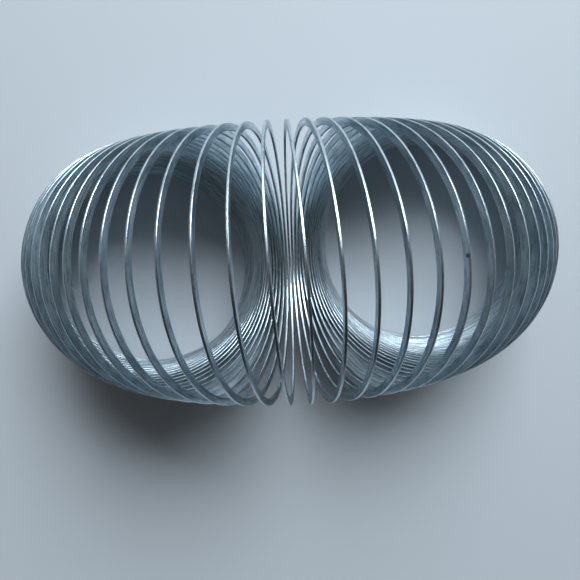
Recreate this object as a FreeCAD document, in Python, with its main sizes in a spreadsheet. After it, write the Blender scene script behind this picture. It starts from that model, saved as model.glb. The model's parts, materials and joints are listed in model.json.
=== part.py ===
import FreeCAD, Part
import Sketcher
import math
import os

# A spring coil toy: one long flat steel wire wound edge-on into a wide, limp coil, standing
# in an arch on its two closed ends.
# Frame: +Z up, Z = 0 is the surface that it stands on. The origin is under the middle of the
# whole toy. X runs from the left leg to the right one and Y to the back.
#
# The wire is modelled turn by turn, because its turns are what moves. A turn starts and ends
# on the coil's inner side, the side that faces the middle of the arch, where neighbouring
# turns stay together. Each joint axis is the wire's own line there, so a joint twists the
# wire and its two cut faces stay flat on each other.

doc = FreeCAD.newDocument("spring_coil_toy")
sheet = doc.addObject("Spreadsheet::Sheet", "sizes")

SIZES = [
    # the wire and the coil, mm
    ("coil_diameter", 70),
    ("wire_width", 1.9),
    ("wire_thickness", 0.62),
    # from one turn to the next, where the coil is closed and at the top of the arch
    ("closed_pitch", 0.65),
    ("open_pitch", 0.92),
    # how many turns: one flat end turn and the closed turns in each leg, and the arch
    ("leg_turns", 24),
    ("arch_turns", 48),
    ("ramp_turns", 0.1),
    # how the half circle is shared between the turns: most in the middle, fading to the legs
    ("arch_angle", 180),
    ("middle_turn", 24.72),
    ("fade_turns", 26.5),
    ("fade_power", 1.54),
    # a limp coil never hangs quite evenly: a slow wave in the angle from turn to turn
    ("wave_share", 0.07),
    ("wave_turns", 9.1),
    ("wave_gap_turn", 26.2),
    # the closed turns of the left leg have slipped over each other: how far its foot stands
    # out to the left and to the front of where the arch comes down
    ("left_foot_out", 4.2),
    ("left_foot_forward", 4.7),
]
for row, (alias, value) in enumerate(SIZES, start=1):
    sheet.set(f"A{row}", alias)
    sheet.set(f"B{row}", str(value))
    sheet.setAlias(f"B{row}", alias)
doc.recompute()


def size(alias):
    return float(sheet.get(alias))


COIL_RADIUS = size("coil_diameter") / 2
INNER_RADIUS = COIL_RADIUS - size("wire_width")
WIRE_RADIUS = COIL_RADIUS - size("wire_width") / 2
LEG_TURNS = round(size("leg_turns"))
ARCH_TURNS = round(size("arch_turns"))
ARCH_PLANE_Y = size("left_foot_forward") / 2


# ---- where the turns stand -------------------------------------------------------------


def openness(turn):
    """How far the coil is open at a place along it: 1 in the middle, near 0 at the legs."""
    away = abs(turn - size("middle_turn")) / size("fade_turns")
    return 1 - away ** size("fade_power")


def wave(turn):
    """The uneven hang of the turns, as a factor near 1."""
    phase = 2 * math.pi * (turn - size("wave_gap_turn")) / size("wave_turns")
    return 1 - size("wave_share") * math.cos(phase)


def joint_angles():
    """Degrees from each turn to the next, from the left leg to the right one."""
    shares = [openness(n + 0.5) * wave(n + 0.5) for n in range(ARCH_TURNS + 1)]
    return [size("arch_angle") * share / sum(shares) for share in shares]


def turn_pitch(turn):
    return size("closed_pitch") + (size("open_pitch") - size("closed_pitch")) * openness(turn)


def arch_places():
    """(places, angles): each joint's place (x, z) on the wire, and each arch turn's lean.

    A turn's axis points straight up at 0 degrees, to +X at 90 and straight down at 180.
    """
    x = 0.0
    z = size("wire_thickness") / 2 + size("closed_pitch") * (1 + LEG_TURNS)
    lean = 0.0
    places = [(x, z)]
    leans = []
    for turn, angle in enumerate(joint_angles()[:-1], start=1):
        lean += angle
        x += turn_pitch(turn) * math.sin(math.radians(lean))
        z += turn_pitch(turn) * math.cos(math.radians(lean))
        places.append((x, z))
        leans.append(lean)
    middle = places[-1][0] / 2 - size("left_foot_out") / 2
    return [(x - middle, z) for x, z in places], leans


def turn_placement(place, lean):
    """Puts a turn's start, on the inner side of the coil, at a place with its axis leaning."""
    turned = FreeCAD.Rotation(FreeCAD.Vector(0, 1, 0), lean)
    start = turned.multVec(FreeCAD.Vector(WIRE_RADIUS, 0, 0))
    x, z = place
    return FreeCAD.Placement(FreeCAD.Vector(x, ARCH_PLANE_Y, z) - start, turned)


# ---- sketches --------------------------------------------------------------------------


def new_body(label):
    body = doc.addObject("PartDesign::Body", label)
    body.Label = label
    return body


def new_sketch(body, name, role):
    sketch = body.newObject("Sketcher::SketchObject", name)
    planes = [plane for plane in body.Origin.OriginFeatures if plane.Role == role]
    sketch.AttachmentSupport = [(planes[0], "")]
    sketch.MapMode = "FlatFace"
    return sketch


def wire_section(body, start_height):
    """The wire's flat section on the coil's inner side, across the XZ plane.

    start_height is a sheet expression for the middle of the section.
    """
    sketch = new_sketch(body, "wire_section", "XZ_Plane")
    low = size("closed_pitch")
    high = low + size("wire_thickness")
    corners = [(INNER_RADIUS, low), (COIL_RADIUS, low), (COIL_RADIUS, high), (INNER_RADIUS, high)]
    points = [FreeCAD.Vector(x, y, 0) for x, y in corners]
    for n in range(4):
        sketch.addGeometry(Part.LineSegment(points[n], points[(n + 1) % 4]), False)
    for n in range(4):
        sketch.addConstraint(Sketcher.Constraint("Coincident", n, 2, (n + 1) % 4, 1))
    for kind, edge in (("Horizontal", 0), ("Vertical", 1), ("Horizontal", 2), ("Vertical", 3)):
        sketch.addConstraint(Sketcher.Constraint(kind, edge))
    sketch.addConstraint(Sketcher.Constraint("DistanceX", -1, 1, 0, 2, COIL_RADIUS))
    sketch.setExpression("Constraints[8]", "sizes.coil_diameter / 2")
    sketch.addConstraint(Sketcher.Constraint("DistanceX", 0, 1, 0, 2, size("wire_width")))
    sketch.setExpression("Constraints[9]", "sizes.wire_width")
    sketch.addConstraint(Sketcher.Constraint("DistanceY", 1, 1, 1, 2, size("wire_thickness")))
    sketch.setExpression("Constraints[10]", "sizes.wire_thickness")
    sketch.addConstraint(Sketcher.Constraint("DistanceY", -1, 1, 0, 1, low))
    sketch.setExpression("Constraints[11]", f"{start_height} - sizes.wire_thickness / 2")
    return sketch


def wind(body, sketch, pitch, turns):
    """Winds the section up about the body's Z axis. pitch and turns are sheet expressions."""
    helix = body.newObject("PartDesign::AdditiveHelix", "winding")
    helix.Profile = sketch
    helix.ReferenceAxis = (sketch, ["V_Axis"])
    helix.Mode = "pitch-turns-angle"
    helix.LeftHanded = False
    helix.Reversed = False
    helix.setExpression("Pitch", pitch)
    helix.setExpression("Turns", turns)
    return helix


# ---- the pieces ------------------------------------------------------------------------


def arch_turn(number, place, lean):
    """One turn of the arch, a little further open than the one below it."""
    body = new_body(f"arch_turn_{number:02d}")
    middle_gap = f"abs({number} - sizes.middle_turn) / sizes.fade_turns"
    opened = f"(1 - pow({middle_gap}; sizes.fade_power))"
    pitch = f"sizes.closed_pitch + (sizes.open_pitch - sizes.closed_pitch) * {opened}"
    section = wire_section(body, "2 * sizes.closed_pitch")
    wind(body, section, pitch, "1")
    lift = FreeCAD.Placement(FreeCAD.Vector(0, 0, -2 * size("closed_pitch")), FreeCAD.Rotation())
    body.Placement = turn_placement(place, lean).multiply(lift)
    return body


def leg_placement(x, y, facing):
    """Stands a leg's piece at x and y, with its wire's start facing the other leg."""
    turned = FreeCAD.Rotation(FreeCAD.Vector(0, 0, 1), facing)
    return FreeCAD.Placement(FreeCAD.Vector(x, y, 0), turned)


def leg_winding(label, pitch):
    """The closed turns of one leg, as one winding that reaches from the end turn to the arch."""
    body = new_body(label)
    section = wire_section(body, "sizes.closed_pitch + sizes.wire_thickness / 2")
    wind(body, section, pitch, "sizes.leg_turns")
    return body


def slipped(label, winding, x, low, high, neighbours):
    """A leg's winding, stood at x, whose turns have slipped evenly sideways.

    They stay in place at the height high and have slipped all the way at the height low. The
    ends are trimmed back to the neighbours, which they would otherwise overlap by a sliver.
    No body feature shears a winding, so this piece is a plain shape.
    """
    piece = doc.addObject("Part::Feature", label)
    piece.Label = label
    out = size("left_foot_out") / (high - low)
    forward = size("left_foot_forward") / (high - low)
    from_x = x - out * high
    from_y = ARCH_PLANE_Y - forward * high
    slip = FreeCAD.Matrix(1, 0, out, from_x, 0, 1, forward, from_y)
    piece.Shape = winding.Shape.transformGeometry(slip).cut([other.Shape for other in neighbours])
    return piece


def end_turn(label, x, y, facing):
    """The last turn, which lies flat on the surface, with a short ramp up to the next one."""
    body = new_body(label)
    flat = new_sketch(body, "flat_turn", "XY_Plane")
    ramp = size("ramp_turns") * 2 * math.pi
    centre = FreeCAD.Vector(0, 0, 0)
    up = FreeCAD.Vector(0, 0, 1)
    inner = Part.ArcOfCircle(Part.Circle(centre, up, INNER_RADIUS), 0, 2 * math.pi - ramp)
    outer = Part.ArcOfCircle(Part.Circle(centre, up, COIL_RADIUS), 0, 2 * math.pi - ramp)
    tip = Part.LineSegment(inner.StartPoint, outer.StartPoint)
    foot = Part.LineSegment(inner.EndPoint, outer.EndPoint)
    for line in (inner, outer, tip, foot):
        flat.addGeometry(line, False)
    ends = [(0, 3, -1, 1), (1, 3, -1, 1), (2, 1, 0, 1), (2, 2, 1, 1), (3, 1, 0, 2), (3, 2, 1, 2)]
    for end in ends:
        flat.addConstraint(Sketcher.Constraint("Coincident", *end))
    flat.addConstraint(Sketcher.Constraint("Radius", 1, COIL_RADIUS))
    flat.setExpression("Constraints[6]", "sizes.coil_diameter / 2")
    flat.addConstraint(Sketcher.Constraint("Radius", 0, INNER_RADIUS))
    flat.setExpression("Constraints[7]", "sizes.coil_diameter / 2 - sizes.wire_width")
    pad = body.newObject("PartDesign::Pad", "flat_wire")
    pad.Profile = flat
    pad.setExpression("Length", "sizes.wire_thickness")
    doc.recompute()
    section = wire_section(body, "sizes.closed_pitch + sizes.wire_thickness / 2")
    climb = body.newObject("PartDesign::AdditiveHelix", "ramp")
    climb.Profile = section
    climb.ReferenceAxis = (section, ["V_Axis"])
    climb.Mode = "height-turns-angle"
    climb.LeftHanded = False
    climb.Reversed = True
    climb.setExpression("Height", "sizes.closed_pitch")
    climb.setExpression("Turns", "sizes.ramp_turns")
    body.Placement = leg_placement(x, y, facing)
    return body


places, leans = arch_places()
left_axis = places[0][0] - WIRE_RADIUS
right_axis = places[-1][0] + WIRE_RADIUS
left_foot_x = left_axis - size("left_foot_out")
left_foot_y = ARCH_PLANE_Y - size("left_foot_forward")

# The right leg closes a little less tightly, so both feet come down to the same surface.
lowest_section = size("closed_pitch") + size("wire_thickness") / 2
pitch_row = len(SIZES) + 2
sheet.set(f"A{pitch_row}", "right_leg_pitch")
sheet.set(f"B{pitch_row}", str((places[-1][1] - lowest_section) / LEG_TURNS))
sheet.setAlias(f"B{pitch_row}", "right_leg_pitch")
doc.recompute()

left_winding = leg_winding("left_winding", "sizes.closed_pitch")
right_leg = leg_winding("right_leg_turns", "sizes.right_leg_pitch")
right_leg.Placement = leg_placement(right_axis, ARCH_PLANE_Y, 180)
left_foot = end_turn("left_end_turn", left_foot_x, left_foot_y, 0)
right_foot = end_turn("right_end_turn", right_axis, ARCH_PLANE_Y, 180)
arch = [arch_turn(n, places[n - 1], leans[n - 1]) for n in range(1, ARCH_TURNS + 1)]
doc.recompute()
neighbours = [left_foot, arch[0]]
arch_foot = places[0][1]
left_leg = slipped("left_leg_turns", left_winding, left_axis, lowest_section, arch_foot, neighbours)
pieces = [left_foot, left_leg, *arch, right_leg, right_foot]

for item in doc.Objects:
    if "Invalid" in item.State or "Error" in item.State:
        raise RuntimeError(f"{item.Name} failed: {item.State}")
os.makedirs("parts", exist_ok=True)
for piece in pieces:
    if piece.Shape.isNull() or not piece.Shape.isValid():
        raise RuntimeError(f"{piece.Label} has no valid shape")
    piece.Shape.exportStep(f"parts/{piece.Label}.step")
print(len(pieces), "pieces")
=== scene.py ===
import json
import math

import bpy
import numpy as np
from mathutils import Matrix, Vector

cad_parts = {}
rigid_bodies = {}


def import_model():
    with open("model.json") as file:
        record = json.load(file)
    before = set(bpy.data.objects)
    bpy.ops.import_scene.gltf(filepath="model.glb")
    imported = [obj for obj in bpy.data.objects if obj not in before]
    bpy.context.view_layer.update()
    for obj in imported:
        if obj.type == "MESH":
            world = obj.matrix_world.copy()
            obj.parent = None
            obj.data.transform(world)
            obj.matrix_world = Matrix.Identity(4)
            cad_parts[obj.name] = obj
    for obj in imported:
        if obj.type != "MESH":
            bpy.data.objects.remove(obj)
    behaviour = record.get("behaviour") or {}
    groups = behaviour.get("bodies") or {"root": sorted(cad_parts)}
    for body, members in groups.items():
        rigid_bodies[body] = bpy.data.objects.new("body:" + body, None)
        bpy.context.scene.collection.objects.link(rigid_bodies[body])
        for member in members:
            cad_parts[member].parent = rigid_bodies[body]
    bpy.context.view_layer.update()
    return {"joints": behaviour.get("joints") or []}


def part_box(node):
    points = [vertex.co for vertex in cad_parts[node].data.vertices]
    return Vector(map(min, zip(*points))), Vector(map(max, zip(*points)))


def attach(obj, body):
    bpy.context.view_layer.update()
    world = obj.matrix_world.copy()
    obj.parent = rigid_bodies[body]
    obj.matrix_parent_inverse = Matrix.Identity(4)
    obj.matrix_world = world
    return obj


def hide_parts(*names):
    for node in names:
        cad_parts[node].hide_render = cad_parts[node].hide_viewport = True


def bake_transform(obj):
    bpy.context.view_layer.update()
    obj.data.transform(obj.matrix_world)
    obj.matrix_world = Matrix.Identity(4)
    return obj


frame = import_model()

# A spring coil toy, standing in an arch on its two closed ends. It is one flat steel wire, so
# this script follows the wire from end to end and cuts it where the joints need it: half turns
# between the coil's outer side and its inner side, where the joints are.
# A place along the wire is counted in turns. Whole numbers lie on the outer side of the arch,
# halves on the inner side; the front of a turn comes between a whole number and its half.

MM = 0.001

# ---- the wire, from the frame --------------------------------------------------------------

joints = sorted(frame["joints"], key=lambda joint: joint["name"])
places = [np.array(joint["pos_m"]) for joint in joints]
bodies = [joints[0]["parent"]] + [joint["child"] for joint in joints]
LAST = len(bodies) - 1                      # the right leg; the left leg is body 0

foot_low, foot_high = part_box("right_end_turn")
turns_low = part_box("right_leg_turns")[0]
COIL_RADIUS = (foot_high.y - foot_low.y) / 2
THICKNESS = foot_high.z - turns_low.z
WIRE_RADIUS = (foot_low.x + foot_high.x) / 2 - places[-1][0]
WIDTH = 2 * (COIL_RADIUS - WIRE_RADIUS)
TURN_LENGTH = 2 * math.pi * WIRE_RADIUS
LEG_TURNS = 24                              # closed turns in a leg, above its flat end turn
LOWEST = turns_low.z + THICKNESS / 2        # the middle of the wire where the closed turns end
LEFT_PITCH = (places[0][2] - LOWEST) / LEG_TURNS
RIGHT_PITCH = (places[-1][2] - LOWEST) / LEG_TURNS

EDGE_ROUNDING = 0.17 * MM                   # the rolled wire's rounded corners
CORNER_STEPS = 3
STEPS_PER_TURN = 128
RAMP_TURNS = 0.1                            # where the end turn climbs to the one above it
LEG_START = 0.5                             # a leg's piece starts half a turn below its joint
LEG_PATTERN_START = 60                      # in turns, past the arch's; both legs start here

# Closed turns lie a little off each other, in waves down the leg: radians a turn, phase, share.
UNEVEN = 0.09 * MM
UNEVEN_ASIDE = ((2.1, 0.0, 1.0), (3.7, 1.0, 0.6))
UNEVEN_FORWARD = ((2.7, 2.0, 1.0), (4.3, 0.0, 0.6))
FADE_TURNS = 2

# The left leg's turns have slipped over each other, all the way down to its foot.
left_low, left_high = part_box("left_end_turn")
LEFT_SLIP = np.array(
    [
        (left_low.x + left_high.x) / 2 - (places[0][0] - WIRE_RADIUS),
        (left_low.y + left_high.y) / 2 - places[0][1],
        0,
    ]
)


def spline(values, at):
    """A smooth curve through values at 0, 1, 2 and so on, read at the places in at."""
    at = np.asarray(at, float)
    values = np.asarray(values, float)
    if values.ndim == 1:
        values = values[:, None]
    start = np.clip(np.floor(at).astype(int), 1, len(values) - 3)
    t = (at - start)[:, None]
    before, a, b, after = (values[start + n] for n in (-1, 0, 1, 2))
    slope_a = (b - before) / 2
    slope_b = (after - a) / 2
    curve = a * (2 * t**3 - 3 * t**2 + 1) + slope_a * (t**3 - 2 * t**2 + t)
    return curve + b * (3 * t**2 - 2 * t**3) + slope_b * (t**3 - t**2)


# The inner line runs from joint to joint, and two turns into each leg. The lean between two
# joints is that of the turn between them: 0 in the left leg, half a circle in the right leg.
left_drop = np.array([0, 0, -LEFT_PITCH]) + LEFT_SLIP / LEG_TURNS
right_drop = np.array([0, 0, -RIGHT_PITCH])
inner_line = (
    [places[0] + 2 * left_drop, places[0] + left_drop]
    + places
    + [places[-1] + right_drop, places[-1] + 2 * right_drop]
)
steps = [places[n] - places[n - 1] for n in range(1, LAST)]
leans = [0.0, 0.0] + [math.atan2(step[0], step[2]) for step in steps] + [math.pi, math.pi]


def wire_frame(turns, lean, inner):
    """Centre line, outward and axial directions of the wire, from its lean and inner line."""
    outward = np.stack([-np.cos(lean), np.zeros_like(lean), np.sin(lean)], 1)
    axial = np.stack([np.sin(lean), np.zeros_like(lean), np.cos(lean)], 1)
    around = -2 * math.pi * turns
    back = np.array([0.0, 1.0, 0.0])
    radial = np.cos(around)[:, None] * outward + np.sin(around)[:, None] * back
    centre = inner + WIRE_RADIUS * outward + WIRE_RADIUS * radial
    return centre, radial, axial


def arch_frame(turns):
    """The wire in the arch, for places in turns."""
    turns = np.asarray(turns, float)
    lean = spline(leans, turns + 1)[:, 0]
    inner = spline(inner_line, turns + 1.5)
    return wire_frame(turns, lean, inner)


def waves(down, parts):
    return sum(share * np.sin(rate * down + phase) for rate, phase, share in parts)


def unevenness(down):
    """How far each closed turn lies off the ones below it, fading out at both ends of a leg."""
    fade = np.clip(down / FADE_TURNS, 0, 1) * np.clip((LEG_TURNS - down) / FADE_TURNS, 0, 1)
    aside = waves(down, UNEVEN_ASIDE)
    forward = waves(down, UNEVEN_FORWARD)
    offset = np.stack([aside, forward, np.zeros_like(down)], 1)
    return UNEVEN * fade[:, None] * offset


def leg_frame(down, right):
    """The wire in a leg, for places in turns below its joint, down to the tip of the wire."""
    pitch = RIGHT_PITCH if right else LEFT_PITCH
    joint = places[-1] if right else places[0]
    down = np.asarray(down, float)
    height = joint[2] - pitch * np.minimum(down, LEG_TURNS)
    over = np.clip((down - LEG_TURNS) / RAMP_TURNS, 0, 1)
    height = height - (height - THICKNESS / 2) * (over * over * (3 - 2 * over))
    inner = np.stack([np.full_like(down, joint[0]), np.full_like(down, joint[1]), height], 1)
    if not right:
        slipped = np.clip(down / LEG_TURNS, 0, 1)
        inner = inner + np.outer(slipped, LEFT_SLIP)
    inner = inner + unevenness(down)
    lean = np.full_like(down, math.pi if right else 0.0)
    turns = LAST - 0.5 + down if right else 0.5 - down
    return wire_frame(turns, lean, inner)


def section():
    """The wire's section as (across, along, normal across, normal along), once round."""
    points = []
    for corner, (sx, sy) in enumerate(((1, 1), (-1, 1), (-1, -1), (1, -1))):
        cx = sx * (WIDTH / 2 - EDGE_ROUNDING)
        cy = sy * (THICKNESS / 2 - EDGE_ROUNDING)
        for step in range(CORNER_STEPS + 1):
            angle = math.pi / 2 * (corner + step / CORNER_STEPS)
            nx, ny = math.cos(angle), math.sin(angle)
            points.append((cx + EDGE_ROUNDING * nx, cy + EDGE_ROUNDING * ny, nx, ny))
    return np.array(points)


SECTION = section()


def wire_piece(name, centre, radial, axial, first_turn, turns_long):
    """A closed mesh of the flat wire along a centre line, with a UV of its length and girth."""
    n, m = len(centre), len(SECTION)
    across, along, nx, ny = SECTION.T
    points = (
        centre[:, None, :]
        + across[None, :, None] * radial[:, None, :]
        + along[None, :, None] * axial[:, None, :]
    )
    normals = nx[None, :, None] * radial[:, None, :] + ny[None, :, None] * axial[:, None, :]
    ring = np.arange(n - 1)[:, None] * m
    here = np.arange(m)[None, :]
    after = (here + 1) % m
    quads = np.stack([ring + here, ring + after, ring + m + after, ring + m + here], 2)
    quads = quads.reshape(-1, 4)
    tangent = centre[1] - centre[0]
    if np.dot(np.cross(radial[0], axial[0]), tangent) < 0:
        quads = quads[:, ::-1]
        caps = [list(range(m)), list(range((n - 1) * m, n * m))[::-1]]
    else:
        caps = [list(range(m))[::-1], list(range((n - 1) * m, n * m))]
    mesh = bpy.data.meshes.new(name)
    mesh.from_pydata(points.reshape(-1, 3).tolist(), [], quads.tolist() + caps)
    mesh.polygons.foreach_set("use_smooth", [True] * len(quads) + [False, False])
    girth = np.concatenate([[0], np.cumsum(np.hypot(*np.diff(SECTION[:, :2], axis=0).T))])
    uv = mesh.uv_layers.new(name="wire")
    length = (first_turn + turns_long * np.arange(n) / (n - 1)) * TURN_LENGTH
    corners = np.zeros(len(mesh.loops) * 2)
    vertex = np.zeros(len(mesh.loops), int)
    mesh.loops.foreach_get("vertex_index", vertex)
    corners[0::2] = length[vertex // m]
    corners[1::2] = girth[vertex % m]
    uv.data.foreach_set("uv", corners)
    edge = mesh.attributes.new("edge", "FLOAT", "POINT")
    edge.data.foreach_set("value", np.tile(np.abs(nx), n))
    mesh.normals_split_custom_set_from_vertices(normals.reshape(-1, 3).tolist())
    piece = bpy.data.objects.new(name, mesh)
    bpy.context.scene.collection.objects.link(piece)
    piece.data.materials.append(STEEL)
    return piece


# ---- material ------------------------------------------------------------------------------

PALE_STEEL = (0.67, 0.78, 0.83, 1)
DULL_STEEL = (0.37, 0.46, 0.52, 1)
WORN_STEEL = (0.78, 0.80, 0.81, 1)
STAINED_STEEL = (0.17, 0.24, 0.31, 1)
STAIN_SHARE = 0.6
ROUGHNESS = (0.2, 0.4)                      # across the draw lines
EDGE_ROUGHNESS = -0.04                      # added on the wire's thin edges
BUMP_STRENGTH = 0.3
BUMP_DEPTH = 0.04 * MM

# One dark fleck, on the right half of the arch: its place in length and girth, and its size.
FLAW = (29.993 * TURN_LENGTH, 3.8 * MM, 0)
FLAW_SIZE = (0.3 * MM, 0.7 * MM)
FLAW_COLOUR = (0.03, 0.05, 0.08, 1)
FLAW_SHARE = 0.9


def add(tree, kind, inputs=(), **settings):
    """A new node, with its settings and its unlinked or linked inputs filled in."""
    node = tree.nodes.new(kind)
    for name, value in settings.items():
        setattr(node, name, value)
    for name, value in dict(inputs).items():
        if isinstance(value, bpy.types.NodeSocket):
            tree.links.new(value, node.inputs[name])
        else:
            node.inputs[name].default_value = value
    return node


def wire_noise(tree, along, girth, detail=3.0, rough=0.55, seed=0.0):
    """Noise on the wire, with this many patterns to the metre along its length and girth."""
    wire = add(tree, "ShaderNodeUVMap", uv_map="wire")
    place = {"Vector": wire.outputs[0], "Scale": (along, girth, 1), "Location": (seed, seed, 0)}
    scaled = add(tree, "ShaderNodeMapping", place)
    noise = {"Vector": scaled.outputs[0], "Scale": 1.0, "Detail": detail, "Roughness": rough}
    return add(tree, "ShaderNodeTexNoise", noise, noise_dimensions="2D").outputs["Fac"]


def remap(tree, value, source, target):
    """A value carried from the range in source to the range in target, and held inside it."""
    ends = {"From Min": source[0], "From Max": source[1], "To Min": target[0], "To Max": target[1]}
    return add(tree, "ShaderNodeMapRange", {"Value": value, **ends}).outputs["Result"]


def maths(tree, operation, a, b):
    return add(tree, "ShaderNodeMath", {0: a, 1: b}, operation=operation).outputs[0]


def blend_colours(tree, share, a, b):
    mix = add(tree, "ShaderNodeMix", data_type="RGBA")
    for socket, value in ((mix.inputs[0], share), (mix.inputs[6], a), (mix.inputs[7], b)):
        if isinstance(value, bpy.types.NodeSocket):
            tree.links.new(value, socket)
        else:
            socket.default_value = value
    return mix.outputs[2]


def steel():
    """Flat-rolled steel wire: satin and bluish, with draw lines and a mottled, rubbed tone."""
    material = bpy.data.materials.new("steel_wire")
    material.use_nodes = True
    tree = material.node_tree
    surface = tree.nodes["Principled BSDF"]
    edge = add(tree, "ShaderNodeAttribute", attribute_name="edge").outputs["Fac"]
    clouds = wire_noise(tree, along=90, girth=350, detail=2.0)
    lines = wire_noise(tree, along=40, girth=9000, detail=4.0, seed=3.0)
    specks = wire_noise(tree, along=900, girth=2600, detail=3.0, seed=7.0)
    grime = wire_noise(tree, along=260, girth=1400, detail=4.0, rough=0.65, seed=11.0)

    tone = remap(tree, clouds, (0.3, 0.7), (0.0, 1.0))
    colour = blend_colours(tree, tone, DULL_STEEL, PALE_STEEL)
    stained = remap(tree, grime, (0.5, 0.68), (0.0, STAIN_SHARE))
    colour = blend_colours(tree, stained, colour, STAINED_STEEL)
    rubbed = maths(tree, "MULTIPLY", remap(tree, specks, (0.5, 0.62), (0.0, 1.0)), edge)
    colour = blend_colours(tree, rubbed, colour, WORN_STEEL)
    wire = add(tree, "ShaderNodeUVMap", uv_map="wire").outputs[0]
    away = add(tree, "ShaderNodeVectorMath", {0: wire, 1: FLAW}, operation="DISTANCE")
    flawed = remap(tree, away.outputs["Value"], FLAW_SIZE, (FLAW_SHARE, 0.0))
    colour = blend_colours(tree, flawed, colour, FLAW_COLOUR)
    tree.links.new(colour, surface.inputs["Base Color"])

    surface.inputs["Metallic"].default_value = 1.0
    gloss = remap(tree, lines, (0.3, 0.7), ROUGHNESS)
    gloss = maths(tree, "ADD", gloss, maths(tree, "MULTIPLY", edge, EDGE_ROUGHNESS))
    tree.links.new(gloss, surface.inputs["Roughness"])

    relief = maths(tree, "ADD", lines, maths(tree, "MULTIPLY", specks, edge))
    bumps = {"Height": relief, "Strength": BUMP_STRENGTH, "Distance": BUMP_DEPTH}
    bump = add(tree, "ShaderNodeBump", bumps)
    tree.links.new(bump.outputs[0], surface.inputs["Normal"])
    return material


STEEL = steel()

# ---- pieces --------------------------------------------------------------------------------


def half_turn(name, first_turn):
    turns = np.linspace(first_turn, first_turn + 0.5, STEPS_PER_TURN // 2 + 1)
    return wire_piece(name, *arch_frame(turns), first_turn, 0.5)


for n in range(LAST):
    before, after = bodies[n], bodies[n + 1]
    front = half_turn(f"bend_{n:02d}_front", n)
    back = half_turn(f"bend_{n:02d}_back", n + 0.5)
    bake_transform(front)
    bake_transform(back)
    if n > 0:
        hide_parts(before)
    if n < LAST - 1:
        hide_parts(after)

leg_end = LEG_TURNS + 1
leg_steps = int((leg_end - LEG_START) * STEPS_PER_TURN) + 1
for side, body in (("left", bodies[0]), ("right", bodies[LAST])):
    winding = leg_frame(np.linspace(LEG_START, leg_end, leg_steps), side == "right")
    leg = wire_piece(f"{side}_leg", *winding, LEG_PATTERN_START, leg_end - LEG_START)
    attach(leg, body)
    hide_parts(f"{side}_leg_turns", f"{side}_end_turn")

# ---- floor and light -----------------------------------------------------------------------

FLOOR_REACH = 3.0
FLOOR_COLOUR = (0.56, 0.59, 0.62, 1)
FLOOR_ROUGHNESS = 0.6

BRIGHT_SIDE = (0.86, 0.92, 0.95, 1)         # the window's wall, behind the toy
DARK_SIDE = (0.05, 0.046, 0.042, 1)         # the room on the viewer's side
DEPTH_FADE = (-0.45, 0.5)                   # front to back, as a direction's Y
HEIGHT_FADE = (0.3, 0.85)                   # low to high, as a direction's Z
OVERHEAD_SHARE = 0.12                       # how much of the window's side reaches overhead
ROOM_STRENGTH = 0.42
LIT_PLACE = (0, 0, 0.05)                    # what both lights point at


def plain_floor():
    sides = [(-1, -1), (1, -1), (1, 1), (-1, 1)]
    corners = [(FLOOR_REACH * x, FLOOR_REACH * y, 0) for x, y in sides]
    mesh = bpy.data.meshes.new("floor")
    mesh.from_pydata(corners, [], [(0, 1, 2, 3)])
    floor = bpy.data.objects.new("floor", mesh)
    bpy.context.scene.collection.objects.link(floor)
    material = bpy.data.materials.new("floor")
    material.use_nodes = True
    surface = material.node_tree.nodes["Principled BSDF"]
    surface.inputs["Base Color"].default_value = FLOOR_COLOUR
    surface.inputs["Roughness"].default_value = FLOOR_ROUGHNESS
    mesh.materials.append(material)


def area_light(name, place, size, watts, colour):
    data = bpy.data.lights.new(name, "AREA")
    data.shape = "RECTANGLE"
    data.size, data.size_y = size
    data.energy = watts
    data.color = colour
    light = bpy.data.objects.new(name, data)
    bpy.context.scene.collection.objects.link(light)
    light.location = place
    aim = Vector(LIT_PLACE) - Vector(place)
    light.rotation_euler = aim.to_track_quat("-Z", "Y").to_euler()


def room_light():
    """Soft light from all round: bright behind the toy, fading to a dim room in front of it."""
    world = bpy.data.worlds.new("room")
    bpy.context.scene.world = world
    world.use_nodes = True
    tree = world.node_tree
    direction = add(tree, "ShaderNodeTexCoord").outputs["Generated"]
    parts = add(tree, "ShaderNodeSeparateXYZ", {"Vector": direction})
    depth = remap(tree, parts.outputs["Y"], DEPTH_FADE, (0.0, 1.0))
    lowness = remap(tree, parts.outputs["Z"], HEIGHT_FADE, (1.0, OVERHEAD_SHARE))
    share = maths(tree, "MULTIPLY", depth, lowness)
    colour = blend_colours(tree, share, DARK_SIDE, BRIGHT_SIDE)
    background = tree.nodes["Background"]
    tree.links.new(colour, background.inputs["Color"])
    background.inputs["Strength"].default_value = ROOM_STRENGTH


plain_floor()
room_light()
area_light("window", (0.32, 0.9, 1.1), size=(1.0, 0.65), watts=26, colour=(0.83, 0.93, 1.01))
area_light("low_window", (0.25, 1.3, 0.45), size=(1.2, 0.6), watts=3.2, colour=(0.84, 0.94, 1.0))
bpy.context.scene.view_settings.view_transform = "Standard"

# ---- camera --------------------------------------------------------------------------------

CAMERA_PLACE = Vector((1.29, 14.98, 225.31)) * MM
CAMERA_TURN = Vector((-0.1200, -0.0047, -0.0549))      # a rotation vector, from straight down
FOCAL_SHARE = 643.4 / 580                              # focal length over the frame's width
SENSOR = 36.0
NEAREST = 0.01

camera_data = bpy.data.cameras.new("camera")
camera_data.sensor_width = SENSOR
camera_data.lens = FOCAL_SHARE * SENSOR
camera_data.clip_start = NEAREST
camera = bpy.data.objects.new("camera", camera_data)
bpy.context.scene.collection.objects.link(camera)
turned = Matrix.Rotation(CAMERA_TURN.length, 4, CAMERA_TURN.normalized())
camera.matrix_world = Matrix.Translation(CAMERA_PLACE) @ turned
bpy.context.scene.camera = camera
